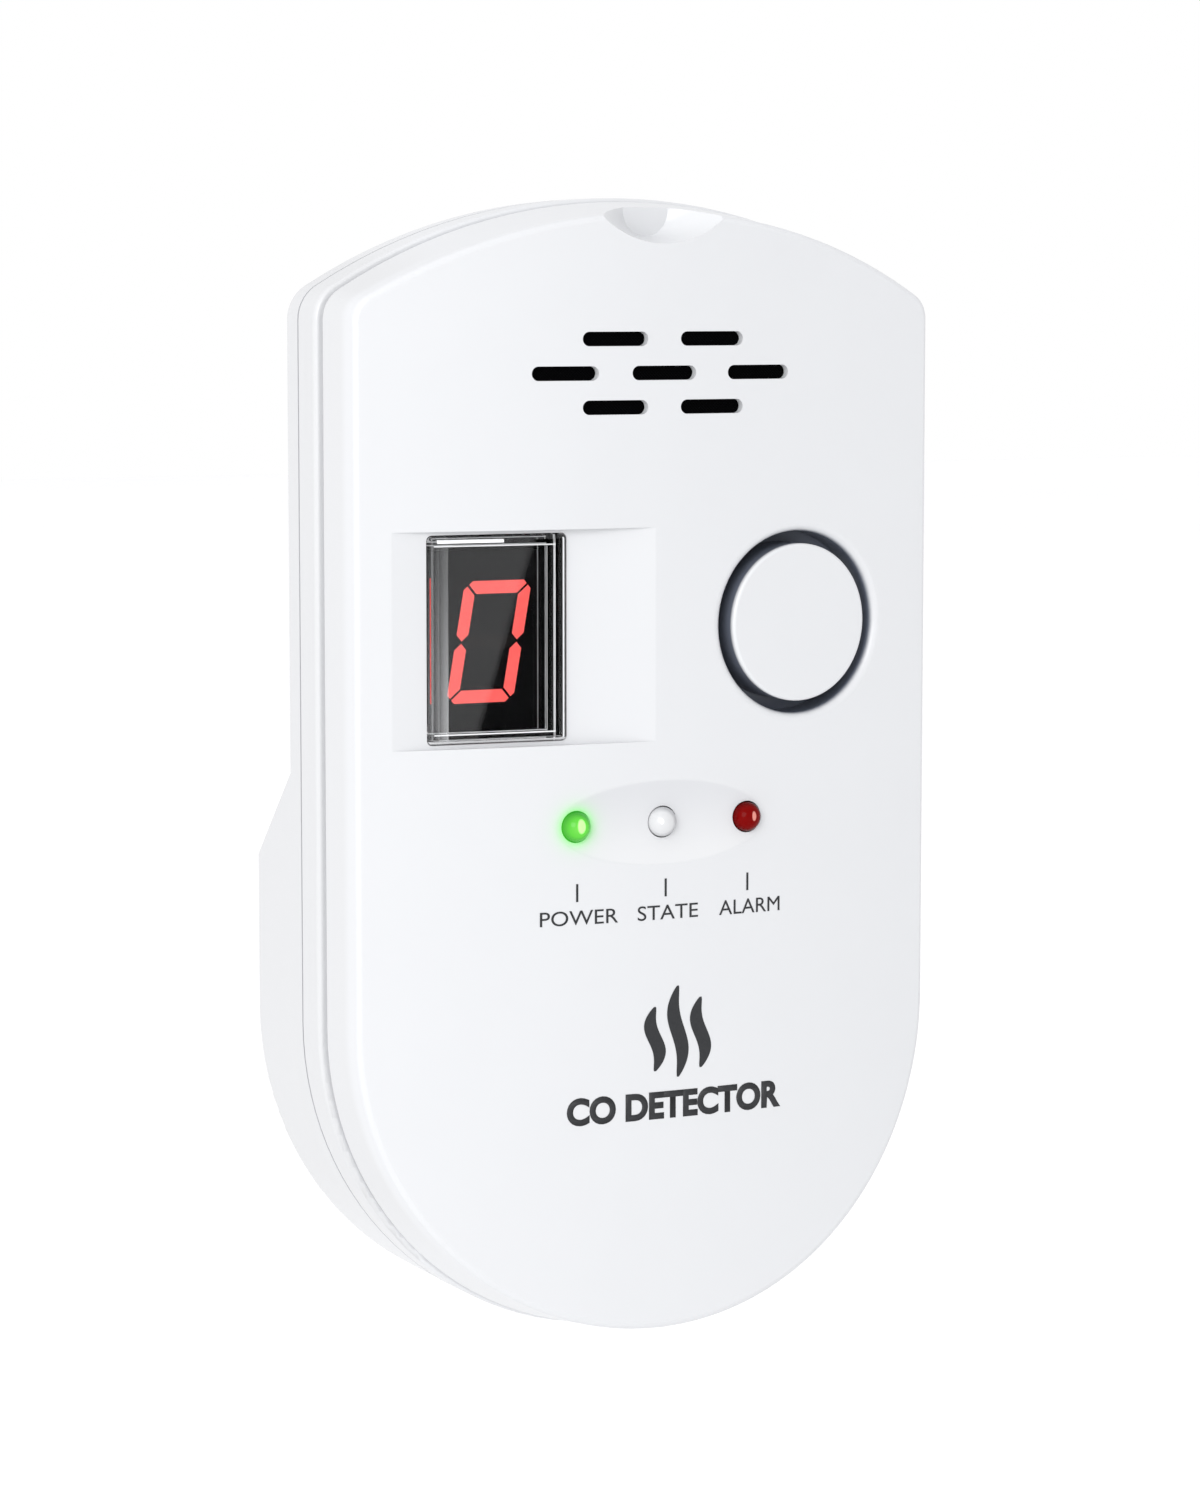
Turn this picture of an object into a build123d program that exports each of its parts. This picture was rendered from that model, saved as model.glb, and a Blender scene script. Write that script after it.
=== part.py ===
from build123d import *
import os
from math import radians, sin, cos, tan, sqrt

os.makedirs("parts", exist_ok=True)

# Frame: origin midway between the plug blades on the wall face, +X right as seen from the front,
# +Y into the wall, +Z up. A "level" is a height in front of the wall face, so Y = -level.

# ---- Shell sizes, mm ----
body_width = 70.0            # across the band that runs round both shells
body_depth = 28.9            # wall face to the crest of the front face
plate_height = 119.25        # front plate, lowest point to the top of its crown
blade_height = 30.0          # blades above the plate's lowest point
crown_radius = 62.4          # arc across the top of the plate
shoulder_radius = 3.0        # corner between crown and sides
front_curve_radius = 171.7   # the front face bows about an upright axis
front_wall = 2.6             # thickness of the front face
shell_wall = 1.6             # thickness of the side walls, inside the plate's edge
back_wall = 2.0              # thickness of the rear shell's floor
band_step = 1.15             # the band stands this far outside the plate's front edge
plate_draft = 7.2            # degrees, the plate's side wall
plate_base_growth = 0.78     # the plate's foot stands this far outside its front edge
plate_base_level = 18.95     # foot of the plate's side wall
plate_edge_radius = 0.7
neck_growth = 0.15           # bottom of the groove between plate and band
band_front_level = 18.07
band_edge_radius = 0.6
seam_level = 13.8            # front and rear shells meet here
seam_gap = 0.25              # shadow line at the seam
seam_step = 0.4              # depth of the shadow line
rear_level = 10.66           # flat back of the rear shell, above the plug bulge
bulge_draft = 1.0            # degrees
bulge_edge_radius = 1.5
bulge_top_wall = 49.1        # top of the bulge at the wall face, above the plate's lowest point
bulge_top_shell = 60.0       # top of the bulge where it meets the flat back
lip_height = 1.4             # locating lip of the rear shell inside the front shell
lip_thickness = 1.2
lip_clearance = 0.15

# ---- Notch, vents, scoop, dish ----
notch_width = 15.4           # across the notch at the front face
notch_drop = 3.2             # notch depth below its own shoulders at the front face
notch_top = 118.7            # height of those shoulders
notch_floor_depth = 4.5      # front crest to the notch's floor
notch_floor_radius = 2.65
notch_floor_height = 118.95
vent_length = 7.5
vent_slot_width = 1.5
vent_pitch = 11.34
vent_row_pitch = 3.55
vent_drop = 17.15            # middle row below the crown
vent_wall = 0.9              # front wall left in front of the dust mesh's pocket
scoop_left_reach = 11.55     # scoop's left end from the lens centre
scoop_land = 7.85            # flat left between the scoop's right end and the button's hole
scoop_margin = 0.5           # scoop beyond the lens, above and below
scoop_sag = 0.6              # scoop's depth below its own chord
dish_drop = 64.38            # indicator row below the crown
dish_depth = 0.46
dish_radius = 22.7

# ---- Display ----
window_side = 15.3           # lens centre in from the plate's left edge
window_drop = 44.5           # lens centre below the crown
window_margin = 1.25         # lens beyond the display block, above and below
window_width = 15.3
window_thickness = 2.9
window_tilt = 5.2            # degrees, follows the front face
window_depth = 1.5           # centre of the lens's outer face, behind the front crest
window_corner = 0.5
window_bevel = 0.45
window_gap = 0.12
display_width = 12.7
display_margin = 3.15        # display block beyond its figure, above and below
display_depth = 6.0
digit_height = 12.7
digit_width = 7.7
digit_stroke = 1.35
digit_slant = 10.0           # degrees
digit_gap = 0.24             # between neighbouring segments
digit_corner = 0.75          # cut off the figure's outer corners
digit_shift = 0.27           # display centre to the right of the lens centre
digit_sink = 0.42            # display centre below the lens centre
segment_depth = 0.5
gasket_overlap = 0.8         # black frame round the display, beyond the lens's opening
gasket_gap = 0.3             # frame's front below the display's face
display_pin_pitch = 2.54
display_pin_inset = 1.88     # pin rows in from the block's ends
display_pin_radius = 0.25

# ---- Test button and its switch ----
button_side = 17.25          # button centre in from the plate's right edge
button_drop = 43.85          # button centre below the crown
button_radius = 8.425
button_gap = 1.325           # between the button and its hole
button_proud = 0.3           # outer face follows the bowed front and stands this far proud of it
button_lip_radius = 0.9
button_edge_radius = 0.35
collar_wall = 1.8
collar_depth = 5.4           # inner end of the collar around the button, behind the front crest
button_rest_gap = 0.3        # flange below the collar
flange_overlap = 1.25        # the flange is this much larger than the hole
flange_thickness = 1.1
button_travel = 0.6
switch_size = 6.0
switch_tall = 2.6
switch_corner = 0.4
stem_radius = 1.7
stem_bore_clearance = 0.05
stem_gap = 0.3               # button's foot above the stem
foot_length = 0.3
foot_radius = 2.2

# ---- Boards ----
board_thickness = 1.6
board_edge_gap = 0.6
board_depth = 11.1           # main board's component side, behind the front crest
board_bottom = 34.0
power_front_level = 8.1
power_top = 46.0
pad_clearance = 0.15         # board holes around leads and pins

# ---- Indicators ----
led_pitch = 10.15
led_radius = 1.6
led_length = 6.3
led_proud = 1.0              # tips of the lamps in front of the front crest
led_flange_radius = 1.9
led_flange_tall = 1.0
led_hole_clearance = 0.1
lead_radius = 0.25
lead_pitch = 2.54
lead_tail = 1.4              # leads and pins show this much behind a board

# ---- Sensor, sounder and chips on the main board ----
sensor_room = 0.1875         # share of the free width left between the sensor and its screw post
sensor_drop = 18.25          # below the crown
sensor_radius = 5.8
sensor_base_tall = 2.4
sensor_cap_radius = 4.6
sensor_cap_tall = 4.2
sensor_mesh_radius = 3.3
sensor_pin_radius = 0.5
sensor_pin_circle = 4.0
sensor_cap_wall = 0.4
can_edge_radius = 0.6        # sensor, sounder and capacitor cans
sounder_room = 0.2375        # share of the free width left between the sounder and its screw post
sounder_drop = 19.25         # below the crown
sounder_radius = 8.0
sounder_tall = 6.4
sounder_wall = 0.8
sounder_port_radius = 1.3
sounder_disc_thickness = 0.3
chip_width = 7.5
chip_length = 12.8
chip_tall = 2.3
chip_gap = 4.8               # between the display's frame and the chip
chip_above_display = 12.25   # from the display's centre
chip_leg_pitch = 1.27
chip_legs = 10               # on each long side
chip_leg_width = 0.4
chip_leg_reach = 1.4
chip_leg_tall = 0.9
chip_standoff = 0.1
chip_edge_chamfer = 0.3
crystal_place = 0.502        # share of the way from the display's frame to the switch
crystal_below_display = 11.75
crystal_length = 11.0
crystal_width = 4.5
crystal_tall = 3.5
crystal_edge_radius = 0.4
small_part_places = (0.245, 0.502)         # shares of the way from the display's frame to the switch
small_part_rows = (-5.0, -1.0, 3.0)        # from the display's centre
small_part_length = 2.0
small_part_width = 1.25
small_part_tall = 0.6

# ---- Mains side ----
blade_pitch = 12.7
blade_thickness = 1.5
live_width = 6.35
neutral_width = 7.94
blade_length = 17.0
blade_tip = 1.6              # chamfer across the blade's tip
tab_width = 3.0
tab_thickness = 0.8
insert_width = 25.0
insert_tall = 16.0
insert_flange = 2.0
insert_flange_thickness = 1.4
core_height = 14.0
core_width = 16.0
core_tall = 12.6
core_thick = 5.0
core_leg = 4.0
core_yoke = 2.2
core_side = 2.4
winding_gap = 0.15
capacitor_x = -16.5
capacitor_height = 27.0
capacitor_radius = 5.0
capacitor_tall = 13.0
fuse_x = 16.5
fuse_height = 29.0
fuse_width = 4.0
fuse_length = 8.4
fuse_tall = 7.6
fuse_corner = 0.8
bridge_height = 24.2
bridge_length = 8.4
bridge_width = 6.4
bridge_tall = 3.0
bridge_chamfer = 0.4
header_height = 40.5
header_pins_count = 6
header_pitch = 2.54
header_thickness = 2.5
header_pin = 0.64

# ---- Screws and the posts that take them ----
upper_screw_side = 8.85      # in from the plate's side
upper_screw_drop = 16.25     # below the crown
lower_screw_inset = 6.37     # in from the round lower end
lower_screw_angle = 46.25    # degrees below the round end's centre
case_screw_radius = 1.3
case_head_radius = 2.5
case_head_tall = 1.2
case_screw_length = 9.0
case_post_radius = 3.2
well_radius = 4.0
well_bore_radius = 2.8
well_floor_level = 12.0
board_screw_side = 6.85      # in from the plate's side
board_screw_drop = 27.25     # upper pair, below the crown
board_screw_rise = 5.0       # lower pair, above the main board's lower edge
power_screw_side = 10.85
power_screw_drop = 6.0       # below the power board's upper edge
board_screw_radius = 1.0
board_head_radius = 2.0
board_head_tall = 1.1
board_screw_length = 5.5
board_post_radius = 2.6
screw_clearance = 0.2
screw_slot_reach = 1.5       # cross slot, as a share of the head's radius
screw_slot_width = 0.3       # cross slot, as a share of the head's radius

# ---- Small covers ----
mesh_margin = 0.7            # beyond the outermost slots
mesh_thickness = 0.3
label_width = 36.0
label_low_gap = 13.0         # label above the bulge
label_high_gap = 20.25       # label below the crown
label_thickness = 0.15

# ---- Worked out from the sizes above ----
plate_half = body_width / 2 - band_step
base_z = -blade_height                     # plate's lowest point
crown_z = base_z + plate_height
belly_z = base_z + plate_half              # centre of the round lower end
dish_z = crown_z - dish_drop
window_x = window_side - plate_half
window_z = crown_z - window_drop
window_level = body_depth - window_depth
display_tall = digit_height + 2 * display_margin
window_tall = display_tall + 2 * window_margin
board_front_level = body_depth - board_depth
button_spot = (plate_half - button_side, crown_z - button_drop)
button_hole_radius = button_radius + button_gap
flange_radius = button_hole_radius + flange_overlap
collar_level = body_depth - collar_depth
vent_z = crown_z - vent_drop
mesh_width = 2 * (vent_pitch + vent_length / 2 + mesh_margin)
mesh_tall = 2 * (vent_row_pitch + vent_slot_width / 2 + mesh_margin)
lower_screw_radius = plate_half - lower_screw_inset
lower_screw_x = lower_screw_radius * cos(radians(lower_screw_angle))
lower_screw_z = belly_z - lower_screw_radius * sin(radians(lower_screw_angle))
upper_screw_x = plate_half - upper_screw_side
post_side = upper_screw_x - case_post_radius
free_width = 2 * (post_side - sensor_radius - sounder_radius)
sensor_x = post_side - sensor_room * free_width - sensor_radius
sounder_x = sounder_room * free_width + sounder_radius - post_side
sensor_spot = (sensor_x, crown_z - sensor_drop)
sounder_spot = (sounder_x, crown_z - sounder_drop)
upper_screws = [(side * upper_screw_x, crown_z - upper_screw_drop) for side in (-1, 1)]
lower_screws = [(side * lower_screw_x, lower_screw_z) for side in (-1, 1)]
board_screw_rows = (crown_z - board_screw_drop, base_z + board_bottom + board_screw_rise)
board_screw_x = plate_half - board_screw_side
board_screw_spots = [(side * board_screw_x, z) for side in (-1, 1) for z in board_screw_rows]
power_screw_z = base_z + power_top - power_screw_drop
power_screw_spots = [(side * (plate_half - power_screw_side), power_screw_z) for side in (-1, 1)]
led_spots = [(-led_pitch, dish_z), (0.0, dish_z), (led_pitch, dish_z)]
board_back_level = board_front_level - board_thickness
power_back_level = power_front_level - board_thickness
flange_top_level = collar_level - button_rest_gap
flange_back_level = flange_top_level - flange_thickness
foot_level = flange_back_level - foot_length
stem_top_level = foot_level - stem_gap
display_front_level = board_front_level + display_depth


def face_level(x, inset=0.0):
    """Level of the bowed front face, or of a face inset behind it, at a distance x from the middle."""
    radius = front_curve_radius - inset
    return body_depth - inset - radius + sqrt(radius**2 - x**2)


def outline(level, growth):
    """The shells' outline: round lower end, straight sides, arched crown, grown outwards."""
    half = plate_half + growth
    crown = crown_z + growth
    arc = crown_radius + growth
    shoulder = crown - arc + sqrt(arc**2 - half**2)
    with BuildSketch(Plane.XZ.offset(level)) as shape:
        with BuildLine():
            Line((half, belly_z), (half, shoulder))
            ThreePointArc((half, shoulder), (0, crown), (-half, shoulder))
            Line((-half, shoulder), (-half, belly_z))
            ThreePointArc((-half, belly_z), (0, belly_z - half), (half, belly_z))
        make_face()
        fillet(shape.vertices().group_by(Axis.Y)[-1], max(shoulder_radius + growth, band_edge_radius))
    return shape.sketch


def rods(spots, radius, start, end, mode=Mode.ADD):
    """Round rods or holes, square to the wall, from level start to level end."""
    with BuildSketch(Plane.XZ.offset(start)) as ends:
        with Locations(*spots):
            Circle(radius)
    extrude(ends.sketch, amount=end - start, mode=mode)


def blocks(spots, width, tall, start, end, mode=Mode.ADD):
    """Rectangular blocks or holes, square to the wall, from level start to level end."""
    with BuildSketch(Plane.XZ.offset(start)) as ends:
        with Locations(*spots):
            Rectangle(width, tall)
    extrude(ends.sketch, amount=end - start, mode=mode)


def front_cylinder(inset, mode):
    """The bowed front face, or a face inset behind it, as the side of an upright cylinder."""
    with Locations((0, front_curve_radius - body_depth, crown_z - plate_height / 2)):
        Cylinder(front_curve_radius - inset, 2 * plate_height, mode=mode)


def save(piece, name):
    piece.part.label = name
    export_step(piece.part, f"parts/{name}.step")


# ---- Front shell ----
window_normal = Vector(-sin(radians(window_tilt)), -cos(radians(window_tilt)), 0)
window_plane = Plane(
    origin=(window_x, -window_level, window_z),
    x_dir=(cos(radians(window_tilt)), -sin(radians(window_tilt)), 0),
    z_dir=window_normal,
)
vent_spots = [(x * vent_pitch, vent_z) for x in (-1, 0, 1)]
vent_spots += [(x * vent_pitch, vent_z + z * vent_row_pitch) for x in (-0.5, 0.5) for z in (-1, 1)]

with BuildPart() as plate:
    extrude(outline(plate_base_level, plate_base_growth), amount=body_depth - plate_base_level + 1,
            taper=plate_draft)
    front_cylinder(0, Mode.INTERSECT)
    fillet(plate.faces().sort_by(Axis.Y)[0].edges(), plate_edge_radius)
    fillet(plate.faces().sort_by(Axis.Y)[-1].edges(), plate_edge_radius / 2)

with BuildPart() as front_hollow:
    extrude(outline(seam_level - 1, -shell_wall), amount=body_depth - seam_level)
    front_cylinder(front_wall, Mode.INTERSECT)

scoop_left = window_x - scoop_left_reach
scoop_right = button_spot[0] - button_hole_radius - scoop_land
scoop_a = Vector(scoop_left, -face_level(scoop_left))
scoop_b = Vector(scoop_right, -face_level(scoop_right))
scoop_chord = scoop_b - scoop_a
scoop_radius = (scoop_chord.length / 2) ** 2 / (2 * scoop_sag) + scoop_sag / 2
scoop_out = Vector(scoop_chord.Y, -scoop_chord.X).normalized()
scoop_axis = (scoop_a + scoop_b) * 0.5 + scoop_out * (scoop_radius - scoop_sag)

notch_front_radius = ((notch_width / 2) ** 2 + notch_drop**2) / (2 * notch_drop)
notch_front_z = base_z + notch_top - notch_drop + notch_front_radius
notch_floor_z = base_z + notch_floor_height
notch_run = 1 / notch_floor_depth          # the cone is carried 1 mm out in front of the face

with BuildPart() as notch:
    with BuildSketch(Plane.XZ.offset(body_depth + 1)):
        with Locations((0, notch_front_z + (notch_front_z - notch_floor_z) * notch_run)):
            Circle(notch_front_radius + (notch_front_radius - notch_floor_radius) * notch_run)
    with BuildSketch(Plane.XZ.offset(body_depth - notch_floor_depth)):
        with Locations((0, notch_floor_z)):
            Circle(notch_floor_radius)
    loft(ruled=True)

with BuildPart() as mesh_pocket:
    blocks([(0, vent_z)], mesh_width + 2 * pad_clearance, mesh_tall + 2 * pad_clearance,
           body_depth - 2 * front_wall, body_depth)
    front_cylinder(vent_wall, Mode.INTERSECT)

with BuildPart() as front_cover:
    extrude(outline(seam_level, band_step), amount=band_front_level - seam_level)
    fillet(front_cover.faces().sort_by(Axis.Y)[0].edges(), band_edge_radius)
    extrude(outline(seam_level, neck_growth), amount=plate_base_level + 1 - seam_level)
    add(plate.part)
    add(front_hollow.part, mode=Mode.SUBTRACT)
    # thickening behind the notch
    blocks([(0, crown_z - shell_wall - notch_drop)], notch_width, 2 * notch_drop,
           body_depth - notch_floor_depth - back_wall, body_depth - front_wall)
    add(notch.part, mode=Mode.SUBTRACT)
    # scoop around the display and dish around the indicators
    with Locations((scoop_axis.X, scoop_axis.Y, window_z)):
        Cylinder(scoop_radius, window_tall + 2 * scoop_margin, mode=Mode.SUBTRACT)
    with Locations((0, -(body_depth - dish_depth + dish_radius), dish_z)):
        Cylinder(dish_radius, body_width, rotation=(0, 90, 0), mode=Mode.SUBTRACT)
    # collar and posts
    rods([button_spot], button_hole_radius + collar_wall, collar_level,
         face_level(button_spot[0] + button_hole_radius) - 1)
    for x, z in upper_screws + lower_screws:
        rods([(x, z)], case_post_radius, seam_level, face_level(abs(x) + case_post_radius) - 1)
    for x, z in board_screw_spots:
        rods([(x, z)], board_post_radius, board_front_level, face_level(abs(x) + board_post_radius) - 1)
    add(mesh_pocket.part, mode=Mode.SUBTRACT)
    # openings
    with BuildSketch(window_plane):
        RectangleRounded(window_width + 2 * window_gap, window_tall + 2 * window_gap,
                         window_corner + window_gap)
    extrude(amount=window_thickness * 2, both=True, mode=Mode.SUBTRACT)
    rods([button_spot], button_hole_radius, collar_level - 1, body_depth + 1, Mode.SUBTRACT)
    rods(led_spots, led_radius + led_hole_clearance, body_depth - 2 * front_wall, body_depth, Mode.SUBTRACT)
    with BuildSketch(Plane.XZ.offset(body_depth + 1)) as vents:
        with Locations(*vent_spots):
            SlotOverall(vent_length, vent_slot_width)
    extrude(vents.sketch, amount=-2 * front_wall, mode=Mode.SUBTRACT)
    rods(upper_screws + lower_screws, case_screw_radius, seam_level,
         well_floor_level + case_screw_length, Mode.SUBTRACT)
    rods(board_screw_spots, board_screw_radius, board_front_level,
         board_back_level + board_screw_length, Mode.SUBTRACT)
    # rounded lip of the button hole
    hole_rim = front_cover.edges().filter_by(
        lambda edge: abs(edge.center(CenterOf.BOUNDING_BOX).X - button_spot[0]) < 0.1
        and edge.center(CenterOf.BOUNDING_BOX).Y < -face_level(button_spot[0] + button_hole_radius)
        and abs(edge.bounding_box().size.Z - 2 * button_hole_radius) < 0.1
    )
    fillet(hole_rim, button_lip_radius)
save(front_cover, "front_cover")

# ---- Rear shell with the plug bulge ----


def above_bulge(wall):
    """Everything above the bulge's sloping top and behind the flat back, moved in by a wall."""
    low = base_z + bulge_top_wall - wall
    high = base_z + bulge_top_shell - wall
    slope = (high - low) / rear_level
    back = rear_level + wall
    far = crown_z + body_width
    with BuildPart() as wedge:
        with BuildSketch(Plane.YZ):
            Polygon((1, low - slope), (-back, low + slope * back), (-back, far), (1, far), align=None)
        extrude(amount=body_width, both=True)
    return wedge.part


with BuildPart() as rear_hollow:
    extrude(outline(seam_level + 1, -shell_wall), amount=-(seam_level + 1 - back_wall))
    add(above_bulge(back_wall), mode=Mode.SUBTRACT)

with BuildPart() as lip:
    lip_root = rear_level + back_wall
    lip_top = seam_level + lip_height
    extrude(outline(lip_root, -shell_wall / 2), amount=seam_level - lip_root)
    extrude(outline(lip_root, -shell_wall - lip_clearance), amount=lip_top - lip_root)
    extrude(outline(lip_root, -shell_wall - lip_clearance - lip_thickness), amount=lip_top,
            mode=Mode.SUBTRACT)

with BuildPart() as rear_cover:
    extrude(outline(seam_level - seam_gap, band_step), amount=-(seam_level - seam_gap), taper=bulge_draft)
    add(above_bulge(0), mode=Mode.SUBTRACT)
    back_edges = rear_cover.faces().sort_by(Axis.Y)[-1].edges()
    fillet(back_edges, bulge_edge_radius)
    extrude(outline(seam_level - seam_gap - 1, band_step - seam_step), amount=seam_gap + 1)
    add(rear_hollow.part, mode=Mode.SUBTRACT)
    add(lip.part)
    # screw wells, standoffs and the opening for the plug insert
    for spots, back in ((upper_screws, rear_level), (lower_screws, 0)):
        rods(spots, well_radius, back, seam_level)
        rods(spots, well_bore_radius, back - 1, well_floor_level, Mode.SUBTRACT)
    rods(power_screw_spots, board_post_radius, back_wall / 2, power_back_level)
    rods(upper_screws + lower_screws, case_screw_radius + screw_clearance, back_wall, seam_level,
         Mode.SUBTRACT)
    rods(power_screw_spots, board_screw_radius, power_front_level - board_screw_length,
         power_back_level, Mode.SUBTRACT)
    blocks([(0, 0)], insert_width, insert_tall, -1, back_wall + 1, Mode.SUBTRACT)
save(rear_cover, "rear_cover")


# ---- Display: lens, digit block, segments ----
with BuildPart() as display_window:
    with BuildSketch(window_plane):
        RectangleRounded(window_width, window_tall, window_corner)
    extrude(amount=-window_thickness)
    chamfer(display_window.faces().sort_by(Axis.Y)[0].edges(), window_bevel)
save(display_window, "display_window")

digit_spot = (window_x + digit_shift, window_z - digit_sink)
slant_shift = digit_height / 2 * tan(radians(digit_slant))
half_h = digit_height / 2
half_w = (digit_width - digit_stroke) / 2
half_s = digit_stroke / 2
mitre_gap = digit_gap * sqrt(0.5)


def middle_bar():
    """The middle segment, pointed at both ends."""
    reach = half_w - digit_gap / 2
    return [(-reach, 0), (half_s - reach, half_s), (reach - half_s, half_s),
            (reach, 0), (reach - half_s, -half_s), (half_s - reach, -half_s)]


def end_bar(side):
    """The top (side 1) or bottom (side -1) segment, mitred into its neighbours at both ends."""
    rise = half_h - half_s
    tip = half_w + half_s - mitre_gap
    outer = [(tip - digit_corner, rise + half_s), (tip - digit_corner / 2, rise + half_s - digit_corner / 2)]
    right = outer + [(half_w - half_s - mitre_gap, rise - half_s)]
    left = [(-x, z) for x, z in reversed(right)]
    return [(x, side * z) for x, z in right + left]


def side_bar(across, upward):
    """An upright segment on one side of the figure, mitred at its outer end and pointed at its inner end."""
    top = half_h - mitre_gap
    edge = half_w + half_s
    points = [(edge, top - digit_corner), (edge - digit_corner / 2, top - digit_corner / 2),
              (half_w - half_s, top - digit_stroke), (half_w - half_s, half_s + digit_gap / 2),
              (half_w, digit_gap / 2), (edge, half_s + digit_gap / 2)]
    return [(across * x, upward * z) for x, z in points]


def slanted(points):
    lean = slant_shift / half_h
    return [(digit_spot[0] + x + z * lean, digit_spot[1] + z) for x, z in points]


figure = {
    "a": end_bar(1), "b": side_bar(1, 1), "c": side_bar(1, -1), "d": end_bar(-1),
    "e": side_bar(-1, -1), "f": side_bar(-1, 1), "g": middle_bar(),
}


def segments(names, piece_level, depth, mode=Mode.ADD):
    with BuildSketch(Plane.XZ.offset(piece_level)) as faces:
        for name in names:
            Polygon(*slanted(figure[name]), align=None)
    extrude(faces.sketch, amount=-depth, mode=mode)


pin_columns = [digit_spot[0] + (i - 2) * display_pin_pitch for i in range(5)]
pin_reach = display_tall / 2 - display_pin_inset
display_pin_spots = [(x, digit_spot[1] + side * pin_reach) for x in pin_columns for side in (-1, 1)]

with BuildPart() as display_housing:
    blocks([digit_spot], display_width, display_tall, board_front_level, display_front_level)
    fillet(display_housing.edges().filter_by(Axis.Y), window_corner / 2)
    segments("abcdefg", display_front_level, segment_depth, Mode.SUBTRACT)
save(display_housing, "display_housing")

with BuildPart() as lit_segments:
    segments("abcdef", display_front_level, segment_depth)
save(lit_segments, "lit_segments")

with BuildPart() as unlit_segment:
    segments("g", display_front_level, segment_depth)
save(unlit_segment, "unlit_segment")

with BuildPart() as display_gasket:
    gasket_reach = 2 * (window_gap + gasket_overlap)
    gasket_level = display_front_level - gasket_gap
    blocks([digit_spot], window_width + gasket_reach, window_tall + gasket_reach, board_front_level,
           gasket_level)
    blocks([digit_spot], display_width + 2 * window_gap, display_tall + 2 * window_gap, board_front_level,
           gasket_level, Mode.SUBTRACT)
save(display_gasket, "display_gasket")

with BuildPart() as display_pins:
    rods(display_pin_spots, display_pin_radius, board_back_level - lead_tail, board_front_level)
save(display_pins, "display_pins")

# ---- Test button and tact switch ----
with BuildPart() as test_button:
    rods([button_spot], button_radius, flange_top_level, body_depth + button_proud)
    front_cylinder(-button_proud, Mode.INTERSECT)
    fillet(test_button.faces().sort_by(Axis.Y)[0].edges(), button_edge_radius)
    rods([button_spot], flange_radius, flange_back_level, flange_top_level)
    rods([button_spot], foot_radius, foot_level, flange_back_level)
save(test_button, "test_button")

stem_foot_level = board_front_level + switch_tall - stem_radius
with BuildPart() as switch_body:
    blocks([button_spot], switch_size, switch_size, board_front_level, board_front_level + switch_tall)
    fillet(switch_body.edges().filter_by(Axis.Y), switch_corner)
    rods([button_spot], stem_radius + stem_bore_clearance,
         stem_foot_level - button_travel - stem_gap, board_front_level + switch_tall, Mode.SUBTRACT)
save(switch_body, "switch_body")

with BuildPart() as switch_stem:
    rods([button_spot], stem_radius, stem_foot_level, stem_top_level)
save(switch_stem, "switch_stem")

# ---- Indicators ----
lead_spots = [(x + side * lead_pitch / 2, z) for x, z in led_spots for side in (-1, 1)]
led_tip_level = body_depth + led_proud
led_base_level = led_tip_level - led_length
for led_name, (x, z) in zip(("power_led", "state_led", "alarm_led"), led_spots):
    with BuildPart() as led:
        rods([(x, z)], led_radius, led_base_level, led_tip_level)
        fillet(led.faces().sort_by(Axis.Y)[0].edges(), led_radius * 0.99)
        rods([(x, z)], led_flange_radius, led_base_level, led_base_level + led_flange_tall)
    save(led, led_name)

with BuildPart() as led_leads:
    rods(lead_spots, lead_radius, board_back_level - lead_tail, led_base_level)
save(led_leads, "led_leads")

# ---- Sensor and sounder ----
sensor_pin_reach = sensor_pin_circle * sqrt(0.5)
sensor_pin_spots = [(sensor_x + side * sensor_pin_reach, sensor_spot[1] + end * sensor_pin_reach)
                    for side in (-1, 1) for end in (-1, 1)]
sounder_pin_spots = [(sounder_x + side * display_pin_pitch * 1.5, sounder_spot[1]) for side in (-1, 1)]
sensor_seat = board_front_level + sensor_base_tall

with BuildPart() as sensor_base:
    rods([sensor_spot], sensor_radius, board_front_level, sensor_seat)
save(sensor_base, "sensor_base")

with BuildPart() as sensor_cap:
    rods([sensor_spot], sensor_cap_radius, sensor_seat, sensor_seat + sensor_cap_tall)
    fillet(sensor_cap.faces().sort_by(Axis.Y)[0].edges(), can_edge_radius)
    rods([sensor_spot], sensor_mesh_radius, sensor_seat, sensor_seat + sensor_cap_tall - sensor_cap_wall,
         Mode.SUBTRACT)
save(sensor_cap, "sensor_cap")

with BuildPart() as sensor_pins:
    rods(sensor_pin_spots, sensor_pin_radius, board_back_level - lead_tail, board_front_level)
save(sensor_pins, "sensor_pins")

sounder_top = board_front_level + sounder_tall
with BuildPart() as sounder_case:
    rods([sounder_spot], sounder_radius, board_front_level, sounder_top)
    fillet(sounder_case.faces().sort_by(Axis.Y)[0].edges(), can_edge_radius)
    rods([sounder_spot], sounder_radius - sounder_wall, board_front_level + sounder_wall,
         sounder_top - sounder_wall, Mode.SUBTRACT)
    rods([sounder_spot], sounder_port_radius, sounder_top - 2 * sounder_wall, sounder_top, Mode.SUBTRACT)
save(sounder_case, "sounder_case")

with BuildPart() as sounder_disc:
    rods([sounder_spot], sounder_radius - sounder_wall, board_front_level + sounder_wall,
         board_front_level + sounder_wall + sounder_disc_thickness)
save(sounder_disc, "sounder_disc")

with BuildPart() as sounder_pins:
    rods(sounder_pin_spots, sensor_pin_radius, board_back_level - lead_tail, board_front_level)
save(sounder_pins, "sounder_pins")

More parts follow.
